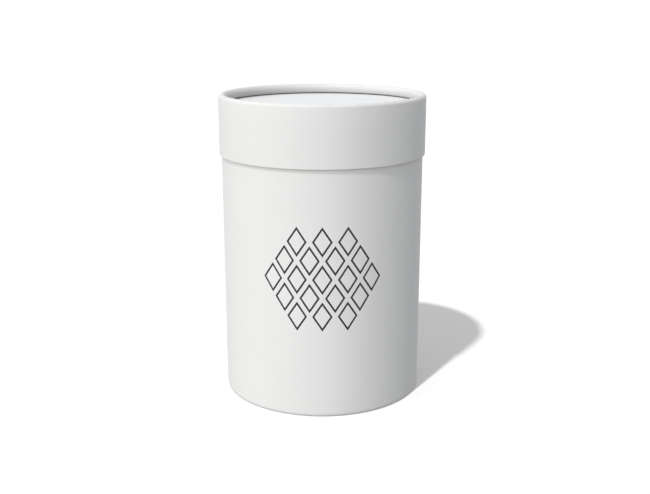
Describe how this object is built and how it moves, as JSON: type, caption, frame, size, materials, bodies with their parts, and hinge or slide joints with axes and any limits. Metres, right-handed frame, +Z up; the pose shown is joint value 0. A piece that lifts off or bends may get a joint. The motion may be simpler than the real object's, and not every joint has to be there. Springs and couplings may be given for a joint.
{
  "type": "cylindrical gift tube box",
  "caption": "Round paperboard tube box with a lift-off lid that slides over the body, rolled rim and foot, and a recessed disc top.",
  "frame": {"origin": "centre of the foot ring, on the surface that the box stands on", "axes": "+Z up along the tube's axis, towards the lid; the front faces -Y and the papers' seams are at the back, +Y"},
  "size_m": [0.085, 0.085, 0.1247],
  "materials": {
    "cover_paper": "smooth matt white cover paper",
    "facing_paper": "smooth matt white paper, slightly cool",
    "lining_paper": "uncoated white lining paper",
    "tube_board": "wound solid greyboard, raw at its cut edges",
    "disc_board": "pressed solid greyboard"
  },
  "bodies": {
    "body": {"body_wrap": "cover_paper", "body_tube": "tube_board", "body_lining": "lining_paper", "base_disc": "disc_board", "floor_lining": "lining_paper"},
    "lid": {"lid_wrap": "cover_paper", "lid_tube": "tube_board", "lid_lining": "lining_paper", "top_disc": "disc_board", "top_facing": "facing_paper"}
  },
  "joints": [
    {"name": "lid_lift", "type": "slide", "parent": "body", "child": "lid", "axis": [0, 0, 1], "range_m": [0, 0.06]}
  ]
}
